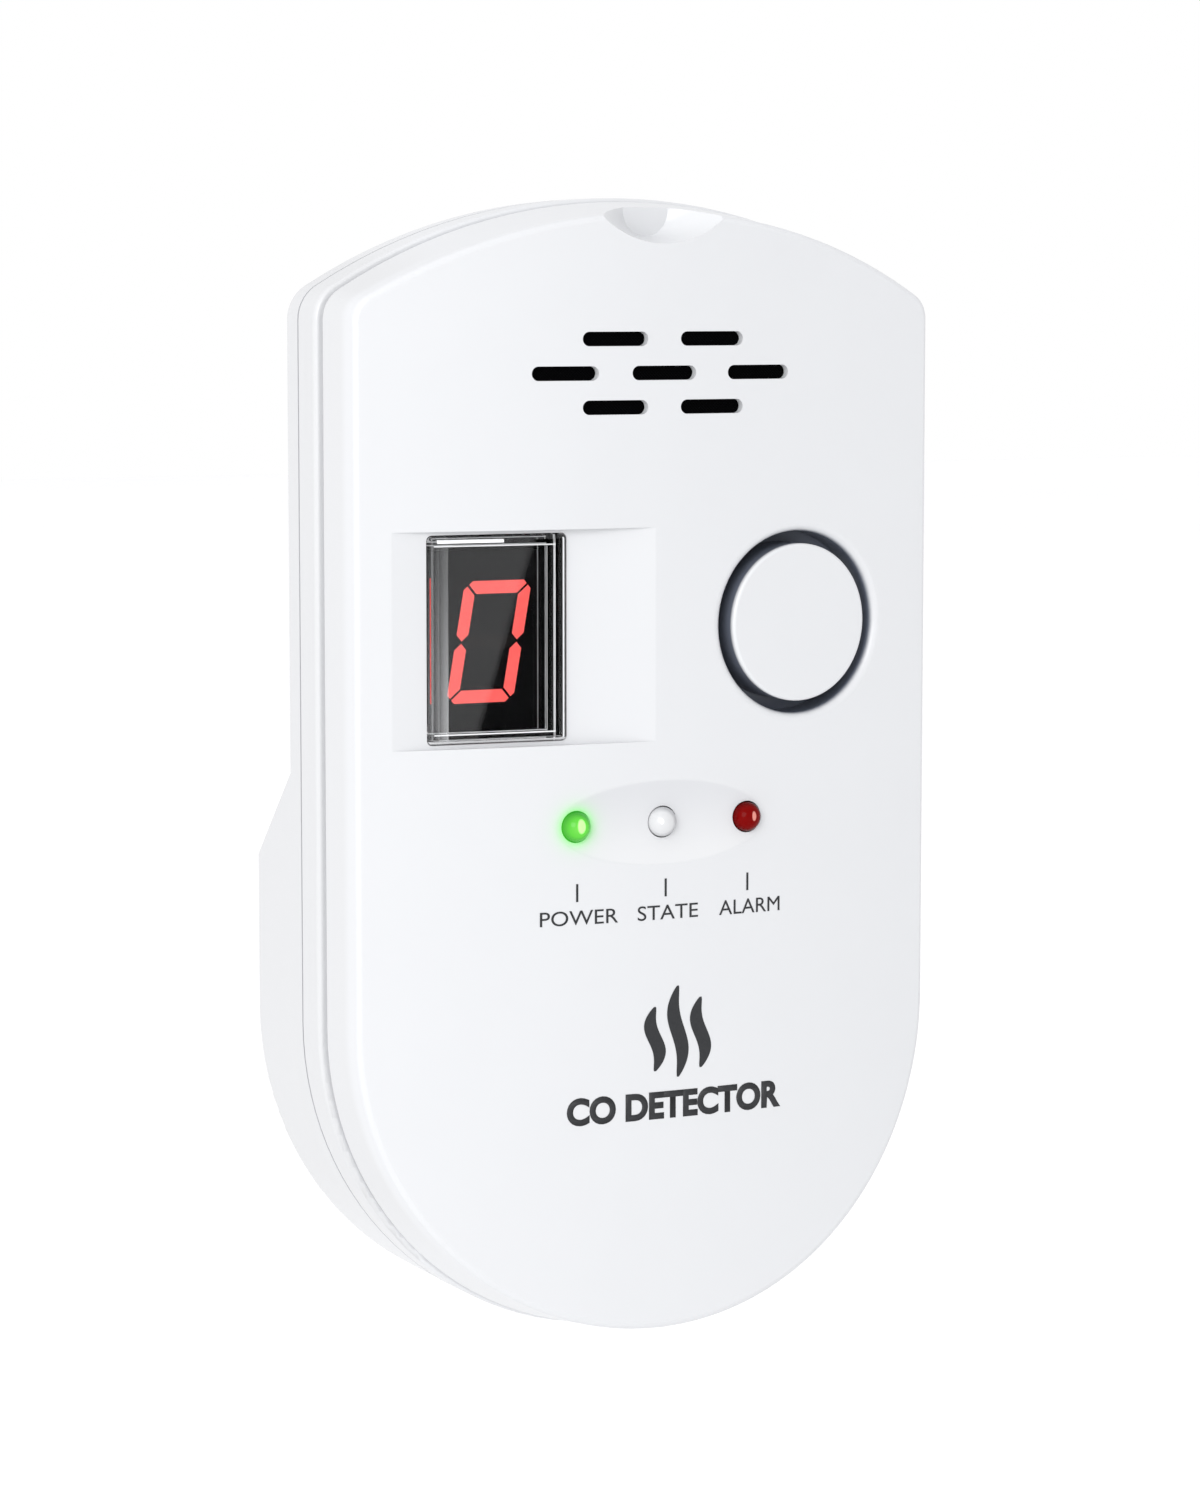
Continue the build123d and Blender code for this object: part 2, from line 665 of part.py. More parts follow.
# ---- Chips on the main board ----
gasket_side = digit_spot[0] + window_width / 2 + window_gap + gasket_overlap
switch_side = button_spot[0] - switch_size / 2
chip_x = gasket_side + chip_gap + chip_length / 2
crystal_x = gasket_side + crystal_place * (switch_side - gasket_side)
small_part_columns = [gasket_side + place * (switch_side - gasket_side) for place in small_part_places]
chip_spot = (chip_x, window_z + chip_above_display)
with BuildPart() as controller_chip:
    blocks([chip_spot], chip_length, chip_width, board_front_level + chip_standoff,
           board_front_level + chip_tall)
    chamfer(controller_chip.faces().sort_by(Axis.Y)[0].edges(), chip_edge_chamfer)
    leg_columns = [chip_x + (i - (chip_legs - 1) / 2) * chip_leg_pitch for i in range(chip_legs)]
    leg_reach = chip_width / 2 + chip_leg_width
    leg_spots = [(x, chip_spot[1] + side * leg_reach) for x in leg_columns for side in (-1, 1)]
    blocks(leg_spots, chip_leg_width, chip_leg_reach, board_front_level, board_front_level + chip_leg_tall)
save(controller_chip, "controller_chip")

with BuildPart() as crystal:
    with BuildSketch(Plane.XZ.offset(board_front_level)):
        with Locations((crystal_x, window_z - crystal_below_display)):
            SlotOverall(crystal_length, crystal_width)
    extrude(amount=crystal_tall)
    fillet(crystal.faces().sort_by(Axis.Y)[0].edges(), crystal_edge_radius)
save(crystal, "crystal")

with BuildPart() as chip_parts:
    small_part_spots = [(x, window_z + row) for x in small_part_columns for row in small_part_rows]
    blocks(small_part_spots, small_part_length, small_part_width, board_front_level,
           board_front_level + small_part_tall)
save(chip_parts, "chip_parts")

# ---- Boards ----
header_columns = [(i - (header_pins_count - 1) / 2) * header_pitch for i in range(header_pins_count)]
header_spots = [(x, base_z + header_height) for x in header_columns]
blade_spots = {"live": (blade_pitch / 2, 0), "neutral": (-blade_pitch / 2, 0)}


def board(level, growth, low, high):
    """A board that follows the shells' outline between two heights above the plate's lowest point."""
    extrude(outline(level, growth), amount=board_thickness)
    split_low = Plane.XY.offset(base_z + low)
    split_high = Plane.XY.offset(base_z + high)
    split(bisect_by=split_low, keep=Keep.TOP)
    split(bisect_by=split_high, keep=Keep.BOTTOM)


with BuildPart() as main_board:
    board(board_back_level, -shell_wall - board_edge_gap, board_bottom, plate_height)
    rods(upper_screws, case_post_radius + 2 * screw_clearance,
         board_back_level, board_front_level, Mode.SUBTRACT)
    rods(board_screw_spots, board_screw_radius + screw_clearance,
         board_back_level, board_front_level, Mode.SUBTRACT)
    rods(display_pin_spots, display_pin_radius + pad_clearance, board_back_level, board_front_level,
         Mode.SUBTRACT)
    rods(lead_spots, lead_radius + pad_clearance, board_back_level, board_front_level, Mode.SUBTRACT)
    rods(sensor_pin_spots + sounder_pin_spots, sensor_pin_radius + pad_clearance,
         board_back_level, board_front_level, Mode.SUBTRACT)
    rods(header_spots, header_pin, board_back_level, board_front_level, Mode.SUBTRACT)
save(main_board, "main_board")

with BuildPart() as power_board:
    board(power_back_level, -shell_wall - 2 * board_edge_gap, 0, power_top)
    rods(lower_screws, well_radius + screw_clearance,
         power_back_level, power_front_level, Mode.SUBTRACT)
    rods(power_screw_spots, board_screw_radius + screw_clearance,
         power_back_level, power_front_level, Mode.SUBTRACT)
    rods(header_spots, header_pin, power_back_level, power_front_level, Mode.SUBTRACT)
    blocks(blade_spots.values(), tab_thickness + 2 * pad_clearance, tab_width + 2 * pad_clearance,
           power_back_level, power_front_level, Mode.SUBTRACT)
save(power_board, "power_board")

with BuildPart() as board_header:
    blocks([(0, base_z + header_height)], header_pitch * header_pins_count, header_thickness,
           power_front_level, board_back_level)
    blocks(header_spots, header_pin, header_pin, power_front_level, board_back_level, Mode.SUBTRACT)
save(board_header, "board_header")

with BuildPart() as header_pins:
    blocks(header_spots, header_pin, header_pin, power_back_level - lead_tail, board_front_level + lead_tail)
save(header_pins, "header_pins")

# ---- Mains side ----
core_spot = (0, base_z + core_height)
window_wide = (core_width - core_leg - 2 * core_side) / 2
core_window_x = (core_leg + window_wide) / 2
winding_spots = [(-core_window_x, core_spot[1]), (core_window_x, core_spot[1])]

with BuildPart() as transformer_core:
    blocks([core_spot], core_width, core_thick, power_front_level, power_front_level + core_tall)
    blocks(winding_spots, window_wide, core_thick, power_front_level + core_yoke,
           power_front_level + core_tall - core_yoke, Mode.SUBTRACT)
save(transformer_core, "transformer_core")

with BuildPart() as transformer_winding:
    winding_reach = 2 * (window_wide - winding_gap)
    winding_low = power_front_level + core_yoke + winding_gap
    winding_high = power_front_level + core_tall - core_yoke - winding_gap
    blocks([core_spot], core_leg + winding_reach, core_thick + winding_reach, winding_low, winding_high)
    fillet(transformer_winding.edges().filter_by(Axis.Y), window_wide / 2)
    blocks([core_spot], core_leg + 2 * winding_gap, core_thick + 2 * winding_gap,
           power_front_level, power_front_level + core_tall, Mode.SUBTRACT)
save(transformer_winding, "transformer_winding")

with BuildPart() as supply_capacitor:
    rods([(capacitor_x, base_z + capacitor_height)], capacitor_radius,
         power_front_level, power_front_level + capacitor_tall)
    fillet(supply_capacitor.edges().filter_by(GeomType.CIRCLE), can_edge_radius)
save(supply_capacitor, "supply_capacitor")

with BuildPart() as fuse:
    blocks([(fuse_x, base_z + fuse_height)], fuse_width, fuse_length, power_front_level,
           power_front_level + fuse_tall)
    fillet(fuse.edges().filter_by(Axis.Y), fuse_corner)
save(fuse, "fuse")

with BuildPart() as bridge_rectifier:
    blocks([(0, base_z + bridge_height)], bridge_length, bridge_width, power_front_level,
           power_front_level + bridge_tall)
    chamfer(bridge_rectifier.faces().sort_by(Axis.Y)[0].edges(), bridge_chamfer)
save(bridge_rectifier, "bridge_rectifier")

# ---- Plug ----
insert_back_level = back_wall + insert_flange_thickness
for blade_name, blade_width in (("live", live_width), ("neutral", neutral_width)):
    with BuildPart() as blade:
        spot = blade_spots[blade_name]
        blocks([spot], blade_thickness, blade_width, -blade_length, insert_back_level)
        tip = blade.edges().filter_by(Axis.X).group_by(Axis.Y)[-1]
        chamfer(tip, blade_tip)
        blocks([spot], tab_thickness, tab_width, insert_back_level, power_front_level + lead_tail)
    save(blade, f"{blade_name}_blade")

with BuildPart() as plug_insert:
    blocks([(0, 0)], insert_width, insert_tall, 0, insert_back_level)
    blocks([(0, 0)], insert_width + 2 * insert_flange, insert_tall + 2 * insert_flange, back_wall,
           insert_back_level)
    for blade_name, blade_width in (("live", live_width), ("neutral", neutral_width)):
        blocks([blade_spots[blade_name]], blade_thickness, blade_width, 0, insert_back_level, Mode.SUBTRACT)
save(plug_insert, "plug_insert")

# ---- Screws ----


def screws(spots, shank, head, head_tall, length, seat, side, name):
    """Pan-head screws, the head's underside at the seat level. Side is 1 for a shank that points forward."""
    crown = seat - side * head_tall
    with BuildPart() as group:
        rods(spots, head, crown, seat)
        crowns = group.faces().filter_by(Axis.Y).sort_by(Axis.Y, reverse=side > 0)[:len(spots)]
        fillet(crowns.edges(), head_tall / 2)
        rods(spots, shank, seat, seat + side * length)
        slot_floor = seat - side * head_tall / 2
        blocks(spots, screw_slot_reach * head, screw_slot_width * head, crown, slot_floor, Mode.SUBTRACT)
        blocks(spots, screw_slot_width * head, screw_slot_reach * head, crown, slot_floor, Mode.SUBTRACT)
    save(group, name)


screws(upper_screws + lower_screws, case_screw_radius, case_head_radius, case_head_tall,
       case_screw_length, well_floor_level, 1, "case_screws")
screws(board_screw_spots, board_screw_radius, board_head_radius, board_head_tall,
       board_screw_length, board_back_level, 1, "main_board_screws")
screws(power_screw_spots, board_screw_radius, board_head_radius, board_head_tall,
       board_screw_length, power_front_level, -1, "power_board_screws")

# ---- Dust mesh and blank label ----
with BuildPart() as vent_mesh:
    blocks([(0, vent_z)], mesh_width, mesh_tall, sounder_top, body_depth)
    front_cylinder(vent_wall, Mode.INTERSECT)
    front_cylinder(vent_wall + mesh_thickness, Mode.SUBTRACT)
save(vent_mesh, "vent_mesh")

label_low = base_z + bulge_top_shell + label_low_gap
label_high = crown_z - label_high_gap
with BuildPart() as rating_label:
    blocks([(0, (label_low + label_high) / 2)], label_width, label_high - label_low,
           rear_level - label_thickness, rear_level)
save(rating_label, "rating_label")
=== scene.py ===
import math
import bpy
import numpy as np
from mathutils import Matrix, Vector


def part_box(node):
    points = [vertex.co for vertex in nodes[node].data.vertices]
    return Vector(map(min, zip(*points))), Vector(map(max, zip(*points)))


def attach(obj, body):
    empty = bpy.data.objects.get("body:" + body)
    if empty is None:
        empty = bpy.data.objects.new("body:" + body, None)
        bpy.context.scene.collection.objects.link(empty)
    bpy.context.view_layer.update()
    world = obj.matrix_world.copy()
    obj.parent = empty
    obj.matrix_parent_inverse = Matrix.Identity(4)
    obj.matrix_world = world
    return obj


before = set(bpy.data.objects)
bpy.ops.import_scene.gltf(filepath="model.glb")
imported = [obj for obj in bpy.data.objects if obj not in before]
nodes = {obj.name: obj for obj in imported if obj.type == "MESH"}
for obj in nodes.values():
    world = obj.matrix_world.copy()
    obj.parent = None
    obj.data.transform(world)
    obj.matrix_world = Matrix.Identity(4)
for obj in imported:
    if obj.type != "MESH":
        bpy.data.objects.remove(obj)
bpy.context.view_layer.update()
mm = 0.001
print("frame loaded:", len(nodes), "nodes")

# places shared by the pieces below, read from the frame
shellLow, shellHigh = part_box("front_cover")
frontY = shellLow.y                       # crest of the bowed front face
faceBow = 171.7 * mm                      # the face's radius about an upright axis
plateFoot = shellLow.z + 1.15 * mm        # lowest point of the raised front plate
lampRadius = 1.6 * mm


def middle(node):                         # centre of a node's box
    low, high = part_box(node)
    return (low + high) / 2


# shader nodes

class Wire:                               # a socket that plain arithmetic works on
    def __init__(self, tree, socket):
        self.tree, self.socket = tree, socket

    def maths(self, operation, *values):
        return addNode(self.tree, "ShaderNodeMath", {"operation": operation}, dict(enumerate(values)))

    def __add__(self, other):
        return self.maths("ADD", self, other)

    def __sub__(self, other):
        return self.maths("SUBTRACT", self, other)

    def __rsub__(self, other):
        return self.maths("SUBTRACT", other, self)

    def __mul__(self, other):
        return self.maths("MULTIPLY", self, other)

    def __truediv__(self, other):
        return self.maths("DIVIDE", self, other)

    def __pow__(self, other):
        return self.maths("POWER", self, other)

    def __abs__(self):
        return self.maths("ABSOLUTE", self)

    __radd__ = __add__
    __rmul__ = __mul__

    def lower(self, other):
        return self.maths("MINIMUM", self, other)

    def upper(self, other):
        return self.maths("MAXIMUM", self, other)

    def within(self, low, high):          # 1 between the two values, 0 outside
        return self.maths("COMPARE", self, (low + high) / 2, (high - low) / 2)

    def beyond(self, edge):               # 1 above the value
        return self.maths("GREATER_THAN", self, edge)

    def fade(self, start, end):           # 0 at the start, 1 at the end, smooth between
        return addNode(self.tree, "ShaderNodeMapRange", {"interpolation_type": "SMOOTHSTEP"},
                       {0: self, 1: start, 2: end, 3: 0.0, 4: 1.0})


def addNode(tree, kind, settings=None, values=None, out=0):
    # one shader node: its settings first, then a value or a link for each named socket
    node = tree.nodes.new(kind)
    for name, value in (settings or {}).items():
        if name == "stops":               # a ramp's stops: place and grey or colour
            ramp = node.color_ramp.elements
            while len(ramp) < len(value):
                ramp.new(0.5)
            for stop, (place, tone) in zip(ramp, value):
                stop.position = place
                stop.color = (*tone, 1) if hasattr(tone, "__len__") else (tone, tone, tone, 1)
        else:
            setattr(node, name, value)
    for name, value in (values or {}).items():
        slot = node.inputs[name]
        if isinstance(value, Wire):
            tree.links.new(value.socket, slot)
        elif hasattr(value, "__len__") and len(slot.default_value) == 4 and len(value) == 3:
            slot.default_value = (*value, 1)
        else:
            slot.default_value = value
    return Wire(tree, node.outputs[out])


class Paint:                              # one procedural material
    def __init__(self, name):
        self.material = bpy.data.materials.new(name)
        self.material.use_nodes = True
        self.tree = self.material.node_tree
        self.tree.nodes.clear()

    def node(self, kind, settings=None, values=None, out=0):
        return addNode(self.tree, kind, settings, values, out)

    def place(self):                      # object coordinates, the row's own metres
        return self.node("ShaderNodeTexCoord", out=3)

    def axes(self):
        split = self.node("ShaderNodeSeparateXYZ", values={0: self.place()})
        outs = split.socket.node.outputs
        return [Wire(self.tree, outs[i]) for i in range(3)]

    def noise(self, size, detail=2.0, vector=None):  # size is the width of one grain, in metres
        return self.node("ShaderNodeTexNoise", values={"Vector": vector or self.place(), "Scale": 1 / size,
                                                       "Detail": detail})

    def blend(self, factor, first, second):          # two colours
        return self.node("ShaderNodeMix", {"data_type": "RGBA"}, {0: factor, 6: first, 7: second}, out=2)

    def ramp(self, factor, *stops):
        return self.node("ShaderNodeValToRGB", {"stops": stops}, {0: factor})

    def bump(self, height, depth):        # depth of the relief in metres
        return self.node("ShaderNodeBump", values={"Height": height, "Distance": depth, "Strength": 1.0})

    def surface(self, **values):          # a shader whose sockets are named with underscores
        named = {name.replace("_", " "): value for name, value in values.items()}
        return self.node("ShaderNodeBsdfPrincipled", values=named)

    def mixed(self, factor, first, second):          # two shaders
        shader = self.node("ShaderNodeMixShader", values={0: factor, 1: first, 2: second})
        return self.close(shader)

    def close(self, shader):
        output = self.tree.nodes.new("ShaderNodeOutputMaterial")
        self.tree.links.new(shader.socket, output.inputs["Surface"])
        return self.material

    def finish(self, **values):
        return self.close(self.surface(**values))


# camera, light and floor

cameraSettings = {"place": (-0.2112, -0.4325, 0.0807), "look": (0.44795, 0.88784, -0.10521), "lens": 104.36}
lightSettings = {
    "keyPlace": (-1.1, -1.2, 0.6), "keySize": 1.0, "keyPower": 15.0,
    "topPlace": (-0.35, -0.2, 1.5), "topSize": 1.2, "topPower": 1.5,
    "ambient": (0.99, 0.99, 1.0), "floorGlow": 0.1, "aim": (0, 0, 0.03),
}
floorSettings = {"drop": 0.09, "reach": 4.0, "cloud": 0.4, "dim": (0.88, 0.88, 0.88), "bright": (0.92, 0.92, 0.92)}
cardSettings = {"edge": (0.2945, -1.18, -0.05), "lean": 0.305, "low": -0.1, "high": 0.55, "reach": 0.7}


def addCamera():
    data = bpy.data.cameras.new("studioCamera")
    data.lens = cameraSettings["lens"]
    data.clip_start = 0.01
    camera = bpy.data.objects.new("studioCamera", data)
    camera.location = cameraSettings["place"]
    camera.rotation_euler = Vector(cameraSettings["look"]).to_track_quat("-Z", "Y").to_euler()
    bpy.context.scene.collection.objects.link(camera)
    bpy.context.scene.camera = camera


def addLight(name, place, size, power):
    # a square soft light that points at the middle of the front
    data = bpy.data.lights.new(name, "AREA")
    data.shape = "SQUARE"
    data.size = size
    data.energy = power
    lamp = bpy.data.objects.new(name, data)
    lamp.location = place
    lamp.rotation_euler = (Vector(lightSettings["aim"]) - Vector(place)).to_track_quat("-Z", "Y").to_euler()
    bpy.context.scene.collection.objects.link(lamp)


def addSurroundings():
    # a soft grey-white room that shows as plain white behind the detector
    world = bpy.data.worlds.new("studio")
    bpy.context.scene.world = world
    world.use_nodes = True
    tree = world.node_tree
    tree.nodes.clear()
    room = addNode(tree, "ShaderNodeBackground", values={"Color": lightSettings["ambient"], "Strength": 1.0})
    plain = addNode(tree, "ShaderNodeBackground", values={"Color": (1, 1, 1), "Strength": 1.0})
    seen = addNode(tree, "ShaderNodeLightPath", out=0)
    both = addNode(tree, "ShaderNodeMixShader", values={0: seen, 1: room, 2: plain})
    output = tree.nodes.new("ShaderNodeOutputWorld")
    tree.links.new(both.socket, output.inputs["Surface"])


def addStagePiece(name, corners, paint, **values):
    # one four-cornered sheet of the studio
    mesh = bpy.data.meshes.new(name)
    mesh.from_pydata(corners, [], [(0, 1, 2, 3)])
    piece = bpy.data.objects.new(name, mesh)
    bpy.context.scene.collection.objects.link(piece)
    mesh.materials.append(paint.finish(**values))
    return piece


def addFloor():
    s = floorSettings
    reach, low = s["reach"], shellLow.z - s["drop"]
    corners = [(-reach, -reach, low), (reach, -reach, low), (reach, reach, low), (-reach, reach, low)]
    paint = Paint("paleFloor")
    tone = paint.blend(paint.noise(s["cloud"]), s["dim"], s["bright"])
    addStagePiece("floor", corners, paint, Base_Color=tone, Roughness=0.9, Emission_Color=(1, 1, 1),
                  Emission_Strength=lightSettings["floorGlow"])


def addDarkCard():
    # a studio's black card to the front right: only reflections and shade show it
    s = cardSettings
    x, y, z = s["edge"]
    lowX, highX = (x + s["lean"] * (level - z) for level in (s["low"], s["high"]))
    corners = [(lowX, y, s["low"]), (highX, y, s["high"]),
               (highX + s["reach"], y, s["high"]), (lowX + s["reach"], y, s["low"])]
    paint = Paint("cardBlack")
    card = addStagePiece("darkCard", corners, paint, Base_Color=(0.004, 0.004, 0.004), Roughness=1.0)
    card.visible_camera = False


addCamera()
addLight("keyLight", lightSettings["keyPlace"], lightSettings["keySize"], lightSettings["keyPower"])
addLight("topLight", lightSettings["topPlace"], lightSettings["topSize"], lightSettings["topPower"])
addSurroundings()
addFloor()
addDarkCard()
bpy.context.scene.view_settings.view_transform = "Standard"
print("studio ready")


# materials

shellSettings = {
    "base": (0.637, 0.645, 0.66), "mottle": (0.625, 0.633, 0.648), "mottleSize": 9 * mm,
    "grain": 0.22 * mm, "grainDepth": 0.0012 * mm, "roughness": 0.27, "smear": 3 * mm, "smearDepth": 0.06,
    "wallShadeDepth": (1.4 * mm, 3 * mm), "wallShadeSide": (22 * mm, 31 * mm), "wallShadeTone": (0.590, 0.595, 0.605),
    "groove": (-18.95 * mm, -18.0 * mm), "grooveShade": 0.2,
    "seam": (-13.85 * mm, -13.5 * mm), "seamShade": 0.6, "shadeTone": (0.42, 0.43, 0.45),
    "gapSide": 10.4 * mm, "gapShadeTone": (0.13, 0.145, 0.185),
}
# the dish's depth and shape, and its painted shade: a lighter tone low and a darker tone high
dishSettings = {
    "depth": 0.46 * mm, "radius": 22.7 * mm, "edge": 0.06 * mm, "turn": 4 * mm, "frontOf": -20 * mm,
    "low": (0.668, 0.674, 0.685), "high": (0.575, 0.583, 0.602),
}
haloSettings = {"reach": 0.55 * mm, "tone": (0.16, 0.80, 0.12), "tint": 0.75, "light": 0.25}


def shellPaint(name, paintedGlow=False, gap=None):
    # satin moulded plastic: faint mottle and fine spark grain, with the green lamp's halo painted on the front
    # as painted light, and painted shade in the gap round the button, on the side walls and in the groove and seam
    s = shellSettings
    paint = Paint(name)
    x, y, z = paint.axes()
    behind = y - frontY - x ** 2 / (2 * faceBow)
    base = paint.blend(paint.noise(s["mottleSize"]), s["base"], s["mottle"])
    grain = paint.noise(s["grain"], detail=3.0)
    rough = paint.noise(s["smear"]) * s["smearDepth"] + s["roughness"]
    values = {"Roughness": rough, "Normal": paint.bump(grain, s["grainDepth"]), "IOR": 1.5}
    if gap:
        # painted shade: the shell in the gap round the button is painted dark grey, more so the deeper it lies
        # behind the face
        spot = middle("test_button")
        away = ((x - spot.x) ** 2 + (z - spot.z) ** 2) ** 0.5
        gapShade = behind.fade(*gap) * (1.0 - away.beyond(s["gapSide"]))
        base = paint.blend(gapShade, base, s["gapShadeTone"])
    # painted shade: the shell lying behind the face is painted darker towards its left and right ends
    wallShade = behind.fade(*s["wallShadeDepth"]) * abs(x).fade(*s["wallShadeSide"])
    base = paint.blend(wallShade, base, s["wallShadeTone"])
    # painted shade: darker along the groove and along the seam
    shade = (y.within(*s["groove"]) * s["grooveShade"]).upper(y.within(*s["seam"]) * s["seamShade"])
    base = paint.blend(shade, base, s["shadeTone"])
    if paintedGlow:
        base = paintedDishShade(paint, base, x, y, z)
        # painted light: round the green lamp the shell is tinted green and given a faint green emission
        halo = haloRound(x, z)
        base = paint.blend(halo * haloSettings["tint"], base, haloSettings["tone"])
        light = tuple(haloSettings["light"] * c for c in haloSettings["tone"])
        values["Emission_Color"] = paint.blend(halo, (0, 0, 0), light)
        values["Emission_Strength"] = 1.0
    return paint.finish(Base_Color=base, **values)


def paintedDishShade(paint, base, x, y, z):
    # painted shade on the shallow dish behind the lamps: where it lies below the bowed face, the upper half is
    # painted darker and the lower half lighter
    s = dishSettings
    row = z - middle("state_led").z
    depth = s["depth"] - x ** 2 / (2 * faceBow) - row ** 2 / (2 * s["radius"])
    dishShading = paint.blend(row.fade(-s["turn"], s["turn"]), s["low"], s["high"])
    return paint.blend(depth.fade(0.0, s["edge"]) * y.maths("LESS_THAN", y, s["frontOf"]), base, dishShading)


def haloRound(x, z):
    # the green lamp's glow, painted on the shell as painted light: it falls off as an exponential of the way out
    # from the dome's rim
    lamp = middle("power_led")
    away = ((x - lamp.x) ** 2 + (z - lamp.z) ** 2) ** 0.5
    return away.maths("EXPONENT", (away - lampRadius) / -haloSettings["reach"]).lower(1.0)


lensSettings = {
    "halfWide": 7.62 * mm, "halfTall": 10.75 * mm, "shift": -0.13 * mm, "step": 0.8 * mm,
    "clear": (0.97, 0.98, 0.99), "cloud": 4 * mm, "highlightTone": (0.86, 0.87, 0.88),
    "glint": (0.35 * mm, 0.72 * mm), "glintReach": (0.9 * mm, 8.2 * mm),
    "band": (0.5 * mm, 2.1 * mm), "bandLow": 0.1, "bandRise": 0.2,
    "paintedDigitReflection": (0.2 * mm, 0.29 * mm), "digitReflectionReach": 6.5 * mm, "digitReflectionTone": (0.75, 0.06, 0.05), "digitReflectionShare": 0.6,
    # painted highlight lines along the bevels
    "lines": (                            # side, start, end, how far clear of the corners, strength
        ("top", 0.95 * mm, 1.08 * mm, 0.55 * mm, 0.75), ("bottom", 0.06 * mm, 0.30 * mm, None, 0.7),
        ("bottom", 0.92 * mm, 1.06 * mm, 0.55 * mm, 0.85), ("right", 0.32 * mm, 0.56 * mm, 0.3 * mm, 0.9),
        ("right", 1.40 * mm, 1.54 * mm, 0.9 * mm, 0.45), ("right", 2.25 * mm, 2.38 * mm, 1.1 * mm, 0.3),
        ("left", 0.32 * mm, 0.50 * mm, None, 0.12)),
}


def lensPaint(name):
    # thick clear acrylic with painted highlights: thin bright lines and a glint painted along its bevels, a grey
    # band of painted reflection down the left side and a thin red painted reflection of the digits
    s = lensSettings
    spot = middle("display_window")
    paint = Paint(name)
    x, y, z = paint.axes()
    across = x - (spot.x + s["shift"])
    upward = z - spot.z
    left, right = across + s["halfWide"], s["halfWide"] - across
    bottom, top = upward + s["halfTall"], s["halfTall"] - upward
    upright = top.lower(bottom)
    level = left.lower(right - s["step"]).lower(top).lower(bottom)
    sides = {"left": (left, upright), "right": (right, upright), "top": (top, level), "bottom": (bottom, level)}
    # painted highlights: a glint along the top bevel and bright lines along the bevels
    lines = top.within(*s["glint"]) * left.within(*s["glintReach"])
    for side, start, end, margin, strength in s["lines"]:
        inward, along = sides[side]
        line = inward.within(start, end) * strength
        if margin:
            line = line * along.beyond(margin)
        lines = lines.upper(line)
    # painted reflection: a grey band down the left side, brighter towards the bottom
    start, end = s["band"]
    paintedSideReflection = upward.fade(s["halfTall"], -s["halfTall"]) * s["bandRise"] + s["bandLow"]
    lines = lines.upper(paintedSideReflection * left.fade(start, end) * (1.0 - left.beyond(end)))
    # painted reflection of the lit digits: a thin red line down the left side
    paintedDigitReflection = left.within(*s["paintedDigitReflection"]) * (s["digitReflectionReach"] - abs(upward)).beyond(0.0)
    tone = paint.blend(paintedDigitReflection, s["highlightTone"], s["digitReflectionTone"])
    clear = paint.surface(Base_Color=s["clear"], Roughness=paint.noise(s["cloud"]) * 0.02, Transmission_Weight=1.0,
                          IOR=1.38)
    # the painted highlights and reflections as a pale glossy surface
    bright = paint.surface(Base_Color=tone, Roughness=0.15)
    return paint.mixed(lines.upper(paintedDigitReflection * s["digitReflectionShare"]), clear, bright)


displaySettings = {"cloud": 0.5 * mm, "lift": 1.4, "grain": 0.3 * mm, "roughness": 0.35, "pit": 0.15 * mm}


def displayPaint(name, tone):
    # matt black resin without gloss
    s = displaySettings
    paint = Paint(name)
    base = paint.blend(paint.noise(s["cloud"]), tone, tuple(s["lift"] * c for c in tone))
    return paint.finish(Base_Color=base, Roughness=paint.noise(s["grain"]) * 0.1 + s["roughness"],
                        Specular_IOR_Level=0.0, Normal=paint.bump(paint.noise(s["pit"]), 0.002 * mm))


segmentSettings = {"glow": (0.98, 0.145, 0.125), "edge": (0.88, 0.10, 0.09), "grain": 0.8 * mm,
                   "unlit": (0.25, 0.03, 0.03), "level": 1.0}


def segmentPaint(name):
    # a lit light-pipe with a fine diffusing grain
    s = segmentSettings
    paint = Paint(name)
    glow = paint.blend(paint.noise(s["grain"]), s["edge"], s["glow"])
    return paint.finish(Base_Color=s["unlit"], Roughness=0.4, Emission_Color=glow,
                        Emission_Strength=s["level"], Specular_IOR_Level=0.2)


lampSettings = {
    "power": {"node": "power_led", "core": (0.02, 0.10, 0.015), "rim": (0.01, 0.07, 0.01),
              "spot": (0.32, 0.84, 0.20), "spotPlace": (0.0, 0.1), "spotSize": (0.30, 0.5),
              "glow": ((0.24, 0.84, 0.10), (0.12, 0.70, 0.04), (0.015, 0.26, 0.012)),
              "gloss": 0.2, "lean": -0.15},
    "state": {"node": "state_led", "core": (0.60, 0.605, 0.615), "rim": (0.40, 0.405, 0.42),
              "spot": (0.92, 0.92, 0.92), "spotPlace": (-0.42, 0.12), "spotSize": (0.13, 0.2),
              "glow": None, "gloss": 0.35, "lean": -0.30},
    "alarm": {"node": "alarm_led", "core": (0.17, 0.0008, 0.0007), "rim": (0.07, 0.0004, 0.0004),
              "spot": (0.62, 0.24, 0.20), "spotPlace": (0.12, 0.1), "spotSize": (0.17, 0.34),
              "glow": None, "gloss": 0.05, "lean": -0.12},
}
lampShares = {"coreEnd": 0.7, "glowEnd": 0.6, "spotFade": (1.15, 0.55), "glowLevel": 0.85}


